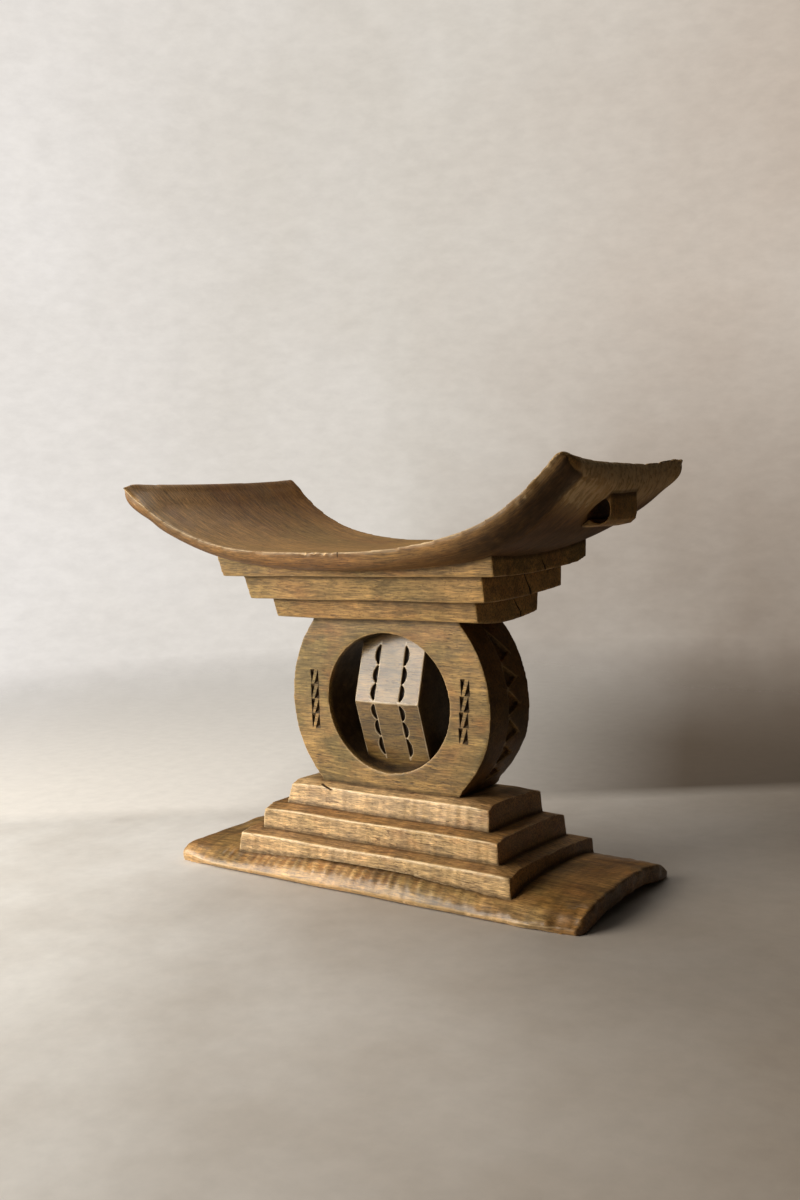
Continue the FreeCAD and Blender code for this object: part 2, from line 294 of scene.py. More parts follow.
def mark_edges(piece, mesh):
    # leaves, at each vertex, how far across the solid's nearest sharp outer edge it lies (above zero
    # on the upper face, below zero on the other) and how far away that edge is, in millimetres
    shape = bmesh.new()
    shape.from_mesh(mesh)
    places = []
    leads = []
    mostly_up = (0.3, 0.2, 0.93)
    for edge in shape.edges:
        if len(edge.link_faces) != 2 or edge.calc_face_angle_signed(0.0) < sharp_edge:
            continue
        normals = (face.normal for face in edge.link_faces)
        upper, other = sorted(normals, key=lambda normal: -normal.dot(mostly_up))
        lead = (upper - other) / max(upper.cross(other).length, 0.2)
        steps = int(edge.calc_length() / edge_sample) + 1
        for i in range(steps + 1):
            places.append(edge.verts[0].co.lerp(edge.verts[1].co, i / steps))
            leads.append(lead)
    shape.free()
    tree = point_tree(places)
    points = coordinates(piece.data)
    found = [tree.find(point) for point in points]
    nearest = np.array([index for _, index, _ in found])
    gap = np.array([far for _, _, far in found])
    across = ((points - np.array(places)[nearest]) * np.array(leads)[nearest]).sum(axis=1)
    marked = np.stack([across, gap, 0 * gap], axis=1) / mm
    edges = piece.data.attributes.new("edge", "FLOAT_VECTOR", "POINT")
    edges.data.foreach_set("vector", np.clip(marked, -9, 9).ravel().astype(np.float32))


def hewn_blank(name, node, fineness, rounds=2, reshape=None):
    # the solid's own shape as a fine even mesh whose edges are a little rounded
    mesh = frame["nodes"][node].data.copy()
    mesh.materials.clear()
    shape = bmesh.new()
    shape.from_mesh(mesh)
    bmesh.ops.remove_doubles(shape, verts=shape.verts, dist=0.01 * mm)
    shape.to_mesh(mesh)
    shape.free()
    if reshape:
        place_vertices(mesh, reshape(coordinates(mesh)))
    piece = add_object(name, mesh)
    remesh = piece.modifiers.new("even mesh", "REMESH")
    remesh.mode = "VOXEL"
    remesh.voxel_size = fineness
    soften = piece.modifiers.new("soft edges", "SMOOTH")
    soften.factor = 0.5
    soften.iterations = rounds
    piece.data = evaluated_mesh(piece)
    piece.modifiers.clear()
    mark_edges(piece, mesh)
    return piece


def wander(points, size, seed, waves=12):
    # an even, smooth wandering between about -1 and 1 that repeats nowhere nearby
    draw = np.random.default_rng(seed)
    ways = draw.normal(size=(waves, 3))
    ways /= np.linalg.norm(ways, axis=1)[:, None]
    ways *= 2 * math.pi / size * draw.uniform(0.6, 1.5, waves)[:, None]
    starts = draw.uniform(0, 2 * math.pi, waves)
    return np.sin(points @ ways.T + starts).sum(axis=1) / math.sqrt(2 * waves)


def ease(value, low, high):
    # rises smoothly from 0 at low to 1 at high
    share = np.clip((value - low) / (high - low), 0.0, 1.0)
    return share * share * (3 - 2 * share)


class Surface:
    # the vertices of a blank, their normals and their neighbours, held ready for carving

    def __init__(self, piece):
        self.piece = piece
        self.mesh = piece.data
        self.points = coordinates(self.mesh)
        pairs = np.empty(len(self.mesh.edges) * 2, np.int32)
        self.mesh.edges.foreach_get("vertices", pairs)
        self.pairs = pairs.reshape(-1, 2)
        self.count = np.bincount(pairs, minlength=len(self.points))
        self.read_normals()

    def read_normals(self):
        flat = np.empty(len(self.points) * 3, np.float32)
        self.mesh.vertex_normals.foreach_get("vector", flat)
        self.normals = flat.reshape(-1, 3).astype(float)

    def blur(self, values, rounds):
        one, two = self.pairs.T
        size = len(self.points)
        for _ in range(rounds):
            total = np.bincount(one, values[two], size) + np.bincount(two, values[one], size)
            values = 0.5 * values + 0.5 * total / self.count
        return values

    def bulge(self, rounds):
        # how far each point stands out of (or sinks into) its wider surroundings
        wide = np.stack([self.blur(self.points[:, i], rounds) for i in range(3)], axis=1)
        return ((self.points - wide) * self.normals).sum(axis=1)

    def move(self, depth):
        self.points = self.points + self.normals * depth[:, None]

    def store(self):
        place_vertices(self.mesh, self.points)
        self.read_normals()


def keep_mask(mesh, name, values):
    mask = mesh.attributes.get(name) or mesh.attributes.new(name, "FLOAT", "POINT")
    mask.data.foreach_set("value", values.astype(np.float32))


def read_mask(mesh, name):
    values = np.empty(len(mesh.vertices), np.float32)
    mesh.attributes[name].data.foreach_get("value", values)
    return values


def age_surface(piece, seed, wear, rubbed_and_highlight, rounds=6, carve=None):
    # hand-cut faces that are not quite flat and edges worn round; leaves masks for the finish.
    # the share of rubbed wear and painted highlight on the edges is a number, or a function that says so for
    # each point
    surface = Surface(piece)
    warp = np.stack([wander(surface.points, 150 * mm, way) for way in (11, 12, 13)], axis=1)
    out = surface.bulge(rounds)
    edge = np.clip(out, 0, None)
    surface.move(-wear * edge * (1 + 0.25 * wander(surface.points, 38 * mm, seed)))
    surface.move(0.10 * mm * wander(surface.points, 22 * mm, seed + 1))
    share = rubbed_and_highlight(surface.points) if callable(rubbed_and_highlight) else np.full(len(edge), rubbed_and_highlight)
    keep_mask(surface.mesh, "rubbed_and_highlight", share)
    if carve:
        carve(surface)
    scale = np.percentile(edge, 98) + 1e-9
    # pale edges, partly wear and partly painted highlight, where points stand out of their surroundings
    keep_mask(surface.mesh, "edge_wear_and_highlights", share * np.clip(edge / scale, 0, 1) ** 2)
    # dirt and painted shade where points sink into their surroundings
    keep_mask(surface.mesh, "dirt_and_shade", np.clip(surface.blur(np.clip(-out, 0, None), 1) / scale, 0, 1))
    surface.points = np.clip(surface.points + 0.5 * mm * warp, *cad_box)
    surface.store()


def new_group(name, inputs, outputs):
    group = bpy.data.node_groups.new(name, "ShaderNodeTree")
    for direction, sockets in (("INPUT", inputs), ("OUTPUT", outputs)):
        for socket, kind in sockets:
            group.interface.new_socket(socket, in_out=direction, socket_type="NodeSocket" + kind)
    return group


# carved wood: patches of patina, lengthwise grain, short open pores, cross figure left by the blade,
# pale rubbed edges with painted highlights along them, and darker hollows, corners and shaded sides,
# partly dirt and patina, partly painted shade
carved_wood = new_group(
    "carved wood",
    [
        ("Grain Place", "Vector"),
        ("Golden", "Color"),
        ("Olive", "Color"),
        ("Red Brown", "Color"),
        ("Dark", "Color"),
        ("Pale", "Color"),
        ("Patches", "Float"),
        ("Figure", "Float"),
        ("Pores", "Float"),
        ("Edge Wear And Highlights", "Float"),
        ("Edge", "Vector"),
        ("Rubbed And Highlight", "Float"),
        ("Dirt And Shade", "Float"),
        ("Patina And Shade", "Float"),
        ("Streaks", "Float"),
    ],
    [("Color", "Color"), ("Roughness", "Float"), ("Height", "Float")],
)
tree = carved_wood
given = add_node(tree, "NodeGroupInput").outputs
place = given["Grain Place"]
inputs = {"Vector": place, "Scale": 9.0, "Detail": 2.0}
sway_noise = add_node(tree, "ShaderNodeTexNoise", inputs).outputs[1]
inputs = {0: sway_noise, 1: (0.03, 0.012, 0.012), 2: place}
bent = add_node(tree, "ShaderNodeVectorMath", inputs, operation="MULTIPLY_ADD").outputs[0]
patch = noise(tree, bent, given["Patches"], 4.0, 0.6)
patch_two = noise(tree, stretch(tree, bent, 1.0, 1.6, 1.9), multiply(tree, given["Patches"], 1.7), 4.0)
color = blend_color(tree, remap(tree, patch, 0.42, 0.60), given["Golden"], given["Olive"])
color = blend_color(tree, remap(tree, patch_two, 0.50, 0.70, 0.0, 0.8), color, given["Red Brown"])
streak = noise(tree, stretch(tree, bent, 6.0, 55.0, 55.0), 1.0, 4.0, 0.6)
streak = multiply(tree, remap(tree, streak, 0.50, 0.74), given["Streaks"])
color = blend_color(tree, streak, color, given["Dark"])
# patina and painted shade: the wood is darkened where this mask says so
patina_and_shade_tone = (0.62, 0.50, 0.36, 1.0)
color = blend_color(tree, given["Patina And Shade"], color, shade(tree, color, patina_and_shade_tone))
mottle = noise(tree, stretch(tree, bent, 38.0, 70.0, 70.0), 1.0, 4.0, 0.62)
color = shade(tree, color, remap(tree, mottle, 0.36, 0.64, 0.87, 1.11))
grain = noise(tree, stretch(tree, bent, 34.0, 380.0, 380.0), 1.0, 4.0, 0.62)
color = shade(tree, color, remap(tree, grain, 0.36, 0.64, 0.62, 1.34))
fibre = noise(tree, stretch(tree, place, 90.0, 1100.0, 1100.0), 1.0, 2.0, 0.5)
color = shade(tree, color, remap(tree, fibre, 0.35, 0.65, 0.68, 1.28))
speck = noise(tree, stretch(tree, place, 260.0, 520.0, 520.0), 1.0, 3.0, 0.6)
color = shade(tree, color, remap(tree, speck, 0.56, 0.68, 1.0, 0.60))
bands = noise(tree, stretch(tree, bent, 100.0, 13.0, 13.0), 1.0, 2.0, 0.5)
banded = shade(tree, color, remap(tree, bands, 0.36, 0.64, 0.70, 1.22))
color = blend_color(tree, given["Figure"], color, banded)
pore_lines = noise(tree, stretch(tree, bent, 75.0, 620.0, 620.0), 1.0, 2.0)
pore_areas = noise(tree, stretch(tree, place, 16.0, 30.0, 30.0), 1.0, 2.0)
pore_areas = remap(tree, pore_areas, 0.44, 0.62, 0.10, 1.0)
pores = multiply(tree, remap(tree, pore_lines, 0.58, 0.66), pore_areas)
pores = multiply(tree, pores, given["Pores"])
color = blend_color(tree, pores, color, given["Dark"])
# pale edges, partly wear and partly painted highlight: soft pale rubbed areas, sharp pale speckles as glints
# and a thin pale line along each sharp edge
rub_areas = remap(tree, noise(tree, place, 70.0, 4.0), 0.34, 0.60, 0.30, 1.0)
rub_and_highlight = multiply(tree, given["Edge Wear And Highlights"], rub_areas)
edge = add_node(tree, "ShaderNodeSeparateXYZ", {0: given["Edge"]}).outputs
ragged = multiply(tree, compute(tree, "SUBTRACT", noise(tree, place, 60.0, 5.0, 0.65), 0.5), 4.5)
ragged = compute(tree, "SUBTRACT", compute(tree, "ABSOLUTE", edge["X"]), ragged)
beside_edge = remap(tree, edge["Y"], 2.4, 3.6, 1.0, 0.0)
edge_line = multiply(tree, remap(tree, ragged, 0.5, 1.2, 1.0, 0.0), beside_edge)
edge_line = multiply(tree, edge_line, given["Rubbed And Highlight"])
crisp = compute(tree, "SUBTRACT", noise(tree, place, 110.0, 5.0, 0.65), 0.5)
crisp = compute(tree, "MULTIPLY_ADD", crisp, 2.0, given["Edge Wear And Highlights"])
crisp = remap(tree, crisp, 0.55, 0.80, 0.0, 0.85)
rub_and_highlight = compute(tree, "MAXIMUM", compute(tree, "MAXIMUM", multiply(tree, rub_and_highlight, 0.6), crisp), edge_line)
color = blend_color(tree, rub_and_highlight, color, given["Pale"])
# dirt and painted shade: the wood is darkened towards a dim brown where this mask says so
grime_and_shade = multiply(tree, given["Dirt And Shade"], remap(tree, noise(tree, place, 90.0, 3.0), 0.3, 0.6, 0.72, 0.95))
dirt_and_shade_tone = (0.42, 0.38, 0.32, 1.0)
color = blend_color(tree, grime_and_shade, color, shade(tree, given["Dark"], dirt_and_shade_tone))
rough = remap(tree, patch, 0.30, 0.70, 0.42, 0.58)
rough = compute(tree, "SUBTRACT", rough, multiply(tree, rub_and_highlight, 0.12))
rough = compute(tree, "ADD", rough, multiply(tree, grime_and_shade, 0.35))
height = multiply(tree, grain, 0.7)
height = compute(tree, "ADD", height, multiply(tree, mottle, 0.5))
height = compute(tree, "SUBTRACT", height, pores)
height = compute(tree, "ADD", height, multiply(tree, bands, multiply(tree, given["Figure"], 0.8)))
add_node(tree, "NodeGroupOutput", {"Color": color, "Roughness": rough, "Height": height})


relief_height = 0.6 * mm
crease_angle = math.radians(38)


def read_attribute(tree, name, output="Fac"):
    return add_node(tree, "ShaderNodeAttribute", attribute_name=name).outputs[output]


def wood_finish(
    name, golden, olive, red_brown, dark, pale, patches, figure, pores, polish, streaks=0.6, grain=None
):
    # grain names the attribute whose grain follows a bowed piece; a straight piece needs none
    finish = bpy.data.materials.new(name)
    finish.use_nodes = True
    tree = finish.node_tree
    tree.nodes.clear()
    place = add_node(tree, "ShaderNodeTexCoord").outputs["Object"]
    if grain:
        place = read_attribute(tree, grain, "Vector")
    inputs = {
        "Grain Place": place,
        "Golden": tint(*golden),
        "Olive": tint(*olive),
        "Red Brown": tint(*red_brown),
        "Dark": tint(*dark),
        "Pale": tint(*pale),
        "Patches": patches,
        "Figure": figure,
        "Pores": pores,
        "Edge Wear And Highlights": read_attribute(tree, "edge_wear_and_highlights"),
        "Edge": read_attribute(tree, "edge", "Vector"),
        "Rubbed And Highlight": read_attribute(tree, "rubbed_and_highlight"),
        "Dirt And Shade": read_attribute(tree, "dirt_and_shade"),
        "Patina And Shade": read_attribute(tree, "patina_and_shade"),
        "Streaks": streaks,
    }
    wood = add_node(tree, "ShaderNodeGroup", inputs, node_tree=carved_wood)
    inputs = {"Strength": 0.55, "Distance": relief_height, "Height": wood.outputs["Height"]}
    relief = add_node(tree, "ShaderNodeBump", inputs).outputs[0]
    inputs = {
        "Base Color": wood.outputs["Color"],
        "Roughness": wood.outputs["Roughness"],
        "Normal": relief,
        "Specular IOR Level": 0.38,
        "Coat Weight": polish,
        "Coat Roughness": 0.25,
        "Specular Tint": (1.0, 0.90, 0.74, 1.0),
    }
    skin = add_node(tree, "ShaderNodeBsdfPrincipled", inputs)
    add_node(tree, "ShaderNodeOutputMaterial", {0: skin.outputs[0]})
    return finish


def finish_piece(piece, node, material):
    piece.data.materials.clear()
    piece.data.materials.append(material)
    piece.data.polygons.foreach_set("use_smooth", [True] * len(piece.data.polygons))
    piece.data.set_sharp_from_angle(angle=crease_angle)
    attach(piece, "root")
    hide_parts(node)


def fold_mask(piece, name, into, strength):
    # adds one mask to another and drops it
    values = strength * read_mask(piece.data, name)
    keep_mask(piece.data, into, np.maximum(read_mask(piece.data, into), values))
    piece.data.attributes.remove(piece.data.attributes[name])


def front_edges(low_y, high_y, right_end, strength):
    # wear and painted highlight along the front edges, fading before the right end
    def share(points):
        x, y, _ = points.T
        return 0.12 + strength * ease(-y, low_y, high_y) * ease(-x, -right_end, -right_end + 14 * mm)

    return share


def blur_part(surface, share, rounds):
    # smooths the points, all the more where share is near 1
    soft = np.stack([surface.blur(surface.points[:, i], rounds) for i in range(3)], axis=1)
    surface.points = surface.points + share[:, None] * (soft - surface.points)


plate_low, plate_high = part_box("base_plate")
gouge_spacing = 13 * mm


def hew_plate(surface):
    # wavy hand-hewn ends, blunt front corners, gouge marks on the long slopes and a round, dented lip
    long_edge = ease(np.abs(surface.points[:, 1]), 88 * mm, 101 * mm)
    long_edge *= ease(-np.abs(surface.points[:, 0]), -246 * mm, -216 * mm)
    blur_part(surface, long_edge, 34)
    x, y, z = surface.points.T
    y = y + np.sign(y) * 2.2 * mm * long_edge
    corner = ease(x, 222 * mm, 238 * mm) * ease(-y, 90 * mm, 104 * mm)
    x = x - 4.0 * mm * corner
    y = y + 2.5 * mm * corner
    lift = ease(-x, 222 * mm, 260 * mm) * ease(-y, 62 * mm, 104 * mm) * np.clip(z / (9 * mm), 0, 1)
    z = z + 4.5 * mm * lift
    for end, strength in ((plate_high.x, 1.0), (plate_low.x, 0.6)):
        near = ease(-np.abs(x - end), -24 * mm, -2 * mm) * strength
        edge_line = np.stack([np.full_like(x, end), y, 0 * z], axis=1)
        x = x + near * 2.0 * mm * wander(edge_line, 58 * mm, 31)
        z = z + near * 1.7 * mm * wander(edge_line, 44 * mm, 33) * ease(z, 4 * mm, 12 * mm)
        x = x + near * 1.0 * mm * wander(edge_line, 17 * mm, 40) * ease(z, 6 * mm, 14 * mm)
    surface.points = np.stack([x, y, z], axis=1)
    end_face = ease(np.abs(surface.normals[:, 0]), 0.5, 0.9)
    surface.move(end_face * 0.8 * mm * wander(surface.points, 19 * mm, 34))
    surface.move(end_face * 0.3 * mm * wander(surface.points, 7 * mm, 38))
    slope = ease(np.abs(y), 70 * mm, 92 * mm) * ease(z, 3 * mm, 9 * mm)
    marks = wander(np.stack([x, y * 0.12, z * 0.12], axis=1), 12.5 * mm, 35)
    surface.move(slope * 0.28 * mm * marks)
    gouged = ease(np.abs(y), 70 * mm, 82 * mm) * ease(-np.abs(y), -107 * mm, -99 * mm)
    gouged = gouged * (0.25 + 0.75 * ease(x, -225 * mm, -190 * mm) * ease(-x, -120 * mm, -60 * mm))
    cuts = np.abs(np.sin(math.pi * (x / gouge_spacing + 0.5 * wander(surface.points, 70 * mm, 37))))
    surface.move(-0.9 * mm * gouged * cuts)
    lip = ease(np.abs(y), 97 * mm, 105 * mm) * ease(x, 60 * mm, 170 * mm)
    surface.move(lip * 0.45 * mm * wander(surface.points, 13 * mm, 36))
    # painted shade: the top of the right end, the right end itself, the faces turned right and the deep
    # parts of the gouges are darkened; the level top is darkened a little too
    level = ease(surface.normals[:, 2], 0.80, 0.97)
    right_end = level * ease(x, 175 * mm, 215 * mm)
    right_end = np.maximum(right_end, ease(x, 205 * mm, 235 * mm))
    right_end = np.maximum(right_end, ease(surface.normals[:, 0], 0.3, 0.7))
    gouge_shade = gouged * ease(cuts, 0.5, 1.0) * (0.85 + 0.3 * wander(surface.points, 24 * mm, 39))
    keep_mask(surface.mesh, "patina_and_shade", np.maximum(np.maximum(0.55 * level, gouge_shade), 0.95 * right_end))
    keep_mask(surface.mesh, "right_face_shade", ease(surface.normals[:, 0], 0.45, 0.8))


base_plate = hewn_blank("base_plate_carved", "base_plate", 2.1 * mm)
rubbed_and_highlight = front_edges(62 * mm, 92 * mm, 240 * mm, 0.45)
age_surface(base_plate, 41, wear=0.30, rubbed_and_highlight=rubbed_and_highlight, rounds=8, carve=hew_plate)
fold_mask(base_plate, "right_face_shade", "dirt_and_shade", 0.45)
base_finish = wood_finish(
    "golden wood of the base",
    golden=(190, 147, 92),
    olive=(162, 131, 78),
    red_brown=(160, 117, 66),
    dark=(76, 46, 20),
    pale=(226, 190, 138),
    patches=11.0,
    figure=0.85,
    pores=0.45,
    polish=0.50,
)
finish_piece(base_plate, "base_plate", base_finish)


# Lower tiers.
# Three steps that the carver cut into the block above the plate. Their treads roll down to worn,
# shiny front edges with a painted highlight along them, and the blade left upright marks across the
# risers. A flake has split off the top step's front at the left.


run_on = 3 * mm


def sunk(seam):
    # carries the underside a little into the wood below, because the real stool has no seam there
    def reshape(points):
        points = points.copy()
        points[:, 2] -= np.where(points[:, 2] < seam(points[:, 1]), run_on, 0)
        return points

    return reshape


blade_mark_size = 10 * mm
blade_mark_depth = 0.38 * mm


def hew_tier(low, high, drop, darkening, seed):
    def carve(surface):
        # the tread runs down to its right end, most of all behind the front edge
        x, y, z = surface.points.T
        inward = (high.y - np.abs(y)) / (0.4 * high.y)
        fall = np.clip(inward, 0, None) * np.exp(1 - inward) * ease(x, high.x - 30 * mm, high.x - 2 * mm)
        z = z - drop * fall * (surface.normals[:, 2] > 0.3)
        surface.points = np.stack([x, y, z], axis=1)
        riser = 1 - ease(np.abs(surface.normals[:, 2]), 0.3, 0.7)
        marks = wander(np.stack([x, 0.12 * y, 0.12 * z], axis=1), blade_mark_size, seed)
        surface.move(riser * blade_mark_depth * marks)
        x, y, z = surface.points.T
        left_end = ease(-x, -low.x - 34 * mm, -low.x)
        crest = np.clip(1 - (y / (90 * mm)) ** 2, 0, 1)
        z = z - 2.6 * mm * left_end * crest * (surface.normals[:, 2] > 0.3)
        surface.points = np.stack([x, y, z], axis=1)
        # painted shade: the right ends of the treads and the faces turned right are darkened; each step's
        # level tread is darkened by its own amount
        level = ease(surface.normals[:, 2], 0.80, 0.97)
        right = 0.9 * ease(x, high.x - 70 * mm, high.x - 10 * mm)
        face = 0.95 * ease(surface.normals[:, 0], 0.4, 0.8)
        keep_mask(surface.mesh, "patina_and_shade", np.maximum(level * np.maximum(darkening, right), face))

    return carve


def hull_mesh(name, solids):
    # closed cutters, each one the tight wrapping of its corner points
    shape = bmesh.new()
    for corners in solids:
        made = [shape.verts.new(p) for p in corners]
        spare = bmesh.ops.convex_hull(shape, input=made)["geom_unused"]
        bmesh.ops.delete(shape, geom=[v for v in spare if isinstance(v, bmesh.types.BMVert)])
    bmesh.ops.recalc_face_normals(shape, faces=shape.faces)
    return finished_mesh(name, shape)


def to_metres(corners):
    return [(x * mm, y * mm, z * mm) for x, y, z in corners]


freshly_cut = 0.05 * mm


def cut_away(piece, tool_mesh, bare="dirt_and_shade", strength=1.0):
    # cuts the tools out of the piece; the bared wood gets the named mask, the rest keeps its own. By default
    # that mask darkens the bared wood, as painted shade in the cut
    masks = {name: read_mask(piece.data, name) for name in ("edge_wear_and_highlights", "dirt_and_shade")}
    tree = point_tree(coordinates(piece.data))
    tool = add_object("tool", tool_mesh)
    cut = piece.modifiers.new("cut", "BOOLEAN")
    cut.operation = "DIFFERENCE"
    cut.solver = "EXACT"
    cut.object = tool
    piece.data = evaluated_mesh(piece)
    piece.modifiers.clear()
    bpy.data.objects.remove(tool)
    found = [tree.find(point) for point in coordinates(piece.data)]
    nearest = np.array([index for _, index, _ in found])
    fresh = np.array([gap for _, _, gap in found]) > freshly_cut
    for name, values in masks.items():
        keep_mask(piece.data, name, np.where(fresh, strength if name == bare else 0.0, values[nearest]))


tier_finish = wood_finish(
    "golden wood of the lower steps",
    golden=(200, 164, 116),
    olive=(185, 152, 103),
    red_brown=(184, 139, 90),
    dark=(82, 54, 26),
    pale=(234, 204, 156),
    patches=12.0,
    figure=0.6,
    pores=0.85,
    polish=0.20,
    streaks=0.12,
)
tier_seams = {
    "lower_tier_bottom": lambda y: (38.5 - 14.3 * (y / 0.091) ** 2) * mm,
    "lower_tier_middle": lambda y: 50.0 * mm,
    "lower_tier_top": lambda y: 77.0 * mm,
}
flake = [(-152, -64, 83.5), (-66, -64, 88.5), (-88, -64, 106), (-152, -64, 106)]
flake += [(-152, -53.6, 83.5), (-66, -53.4, 88.5), (-88, -49.6, 106), (-152, -48.6, 106)]
split = [(-100, -49, 101.5), (-99, -49, 99.0), (-62, -60, 92.0), (-64, -60, 90.2), (-84, -44, 95.5)]
# for each step: the seed of its marks, how far its right end is worn down and how much its level tread is
# darkened
tier_shapes = ((51, 4.4 * mm, 0.75), (52, 2.4 * mm, 1.0), (53, 2.6 * mm, 0.1))
for (node, seam), (seed, drop, darkening) in zip(tier_seams.items(), tier_shapes):
    low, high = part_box(node)
    tier = hewn_blank(node + "_carved", node, 1.5 * mm, reshape=sunk(seam))
    rubbed_and_highlight = front_edges(-low.y - 22 * mm, -low.y - 8 * mm, high.x - 4 * mm, 0.85)
    age_surface(tier, seed, wear=0.25, rubbed_and_highlight=rubbed_and_highlight, carve=hew_tier(low, high, drop, darkening, seed))
    if node == "lower_tier_top":
        cut_away(tier, hull_mesh("flake", [to_metres(flake)]), bare="edge_wear_and_highlights", strength=0.4)
        # the split is painted dark, as shade in it
        cut_away(tier, hull_mesh("split", [to_metres(split)]))
    finish_piece(tier, node, tier_finish)


# Drum.
# The ring-shaped wall of the pedestal, cut through with an oval opening. A band of small chip-carved
# triangles runs down its face on each side of the opening, and a row of pockets down each end.

drum_low, drum_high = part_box("drum")
drum_x = 0.5 * (drum_low.x + drum_high.x)
drum_z = 195.3 * mm
drum_face = drum_high.y
drum_top_seam = 283 * mm
drum_bottom_seam = 103 * mm


def drum_blank(points):
    # its top and foot run on into the steps
    points = points.copy()
    points[:, 2] += np.where(points[:, 2] > drum_top_seam, run_on, 0)
    points[:, 2] -= np.where(points[:, 2] < drum_bottom_seam, run_on, 0)
    return points


def hew_drum(surface):
    # the lower right of the ring was cut flatter than a true circle
    x, y, z = surface.points.T
    radius = np.hypot(x - drum_x, z - drum_z)
    angle = np.degrees(np.arctan2(z - drum_z, x - drum_x))
    pull = 4.5 * mm * ease(-angle, 12, 44) * ease(radius, 100 * mm, 133 * mm) * (x > drum_x)
    x = x - pull * (x - drum_x) / radius
    z = z - pull * (z - drum_z) / radius
    surface.points = np.stack([x, y, z], axis=1)
    wall = ease(radius, 122 * mm, 131 * mm)
    surface.move(wall * 0.30 * mm * wander(surface.points * (1, 0.3, 1), 18 * mm, 61))
    # mostly painted shade, partly patina: the outer wall, turned away from front and back, is darkened
    keep_mask(surface.mesh, "patina_and_shade", 0.95 * wall * ease(-np.abs(surface.normals[:, 1]), -0.6, -0.2))
    # painted shade: the inside of the opening and the right side of the wall are darkened
    inside_shade = ease(drum_face - np.abs(y), 1.5 * mm, 9 * mm) * (radius < 90 * mm)
    right_wall_shade = 0.40 * wall * ease(surface.normals[:, 0], 0.1, 0.5)
    keep_mask(surface.mesh, "inside_shade", np.maximum(inside_shade, right_wall_shade))


chip_depth = 4.5 * mm


def chip_band(left, width, lean, heights, side):
    # pairs of triangular chips that meet along a slanting ridge, one pair under the other
    chips = []
    face = side * drum_face
    for top, bottom in zip(heights, heights[1:]):
        right = left + width
        bottom = bottom + 0.7 * mm
        first = ((left, top), (left + 0.48 * width, top), (left + 0.04 * width, bottom))
        second = ((right - 0.04 * width, top), (right, bottom), (left + 0.40 * width, bottom))
        tips = (
            (left + 0.12 * width, top - 0.35 * (top - bottom)),
            (right - 0.12 * width, bottom + 0.35 * (top - bottom)),
        )
        for corners, (tip_x, tip_z) in zip((first, second), tips):
            chip = [(x, y, z) for y in (face, face + side * 2 * mm) for x, z in corners]
            chips.append(chip + [(tip_x, face - side * chip_depth, tip_z)])
        left += lean
    return chips


drum = hewn_blank("drum_carved", "drum", 1.6 * mm, reshape=drum_blank)
age_surface(drum, 62, wear=0.25, rubbed_and_highlight=0.5, carve=hew_drum)
fold_mask(drum, "inside_shade", "dirt_and_shade", 1.0)
left_heights = [z * mm for z in (228.0, 210.8, 194.0, 177.0, 159.5)]
right_heights = [z * mm for z in (227.0, 209.0, 192.0, 175.0, 158.0)]
chips = []
for side in (-1, 1):
    chips += chip_band(-106.8 * mm, 11.2 * mm, -0.3 * mm, left_heights, side)
    chips += chip_band(96.2 * mm, 11.0 * mm, -1.6 * mm, right_heights, side)
# the bared wood of the chips is painted dark, as shade in the pockets
cut_away(drum, hull_mesh("chips", chips))
drum_finish = wood_finish(
    "olive tan wood of the pedestal",
    golden=(158, 124, 71),
    olive=(122, 101, 57),
    red_brown=(142, 100, 54),
    dark=(66, 47, 24),
    pale=(206, 172, 120),
    patches=13.0,
    figure=0.30,
    pores=0.85,
    polish=0.10,
)
finish_piece(drum, "drum", drum_finish)


# Drum column.
# A ridged post left standing in the opening. Both faces slope away from a level ridge at mid height
# and carry two rows of scallops that were sunk with a curved gouge; the upper slopes are worn bright.


def column_blank(points):
    # its ends run on into the ring
    points = points.copy()
    points[:, 2] = drum_z + (points[:, 2] - drum_z) * 1.03
    return points


column_low, column_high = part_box("drum_column")
column_x = 0.5 * (column_low.x + column_high.x)
column_ridge_y = 39.6 * mm
column_face_slope = 0.312
column_face_half_width = 34 * mm


def darken_scallops(surface):
    # painted shade: what lies under the slope of the face is a scallop's floor, or the side of the post
    # within the opening, and is darkened
    x, y, z = surface.points.T
    depth = column_ridge_y - column_face_slope * np.abs(z - drum_z) - np.abs(y)
    face = np.abs(x - column_x) < column_face_half_width
    dark = np.where(face, ease(depth, 0.35 * mm, 1.1 * mm), 0.85 * ease(depth, 0.5 * mm, 7 * mm))
    keep_mask(surface.mesh, "scallop_shade", dark)


column = hewn_blank("drum_column_carved", "drum_column", 0.75 * mm, 1, column_blank)
age_surface(column, 71, wear=0.3, rubbed_and_highlight=0.6, carve=darken_scallops)
fold_mask(column, "scallop_shade", "dirt_and_shade", 1.0)
column_finish = wood_finish(
    "waxed wood of the column",
    golden=(126, 98, 53),
    olive=(110, 87, 45),
    red_brown=(120, 84, 42),
    dark=(56, 39, 22),
    pale=(208, 186, 150),
    patches=14.0,
    figure=0.15,
    pores=1.0,
    polish=0.85,
)
finish_piece(column, "drum_column", column_finish)


# Upper tiers.
# Three steps that spread from the drum to the seat, each one narrowing towards its bowed underside.
# Drying has opened a crack in the right end of each.


def raised(seam):
    # carries the top a little into the wood above, because the real stool has no seam there
    def reshape(points):
        points = points.copy()
        points[:, 2] += np.where(points[:, 2] > seam, run_on, 0)
        return points

    return reshape


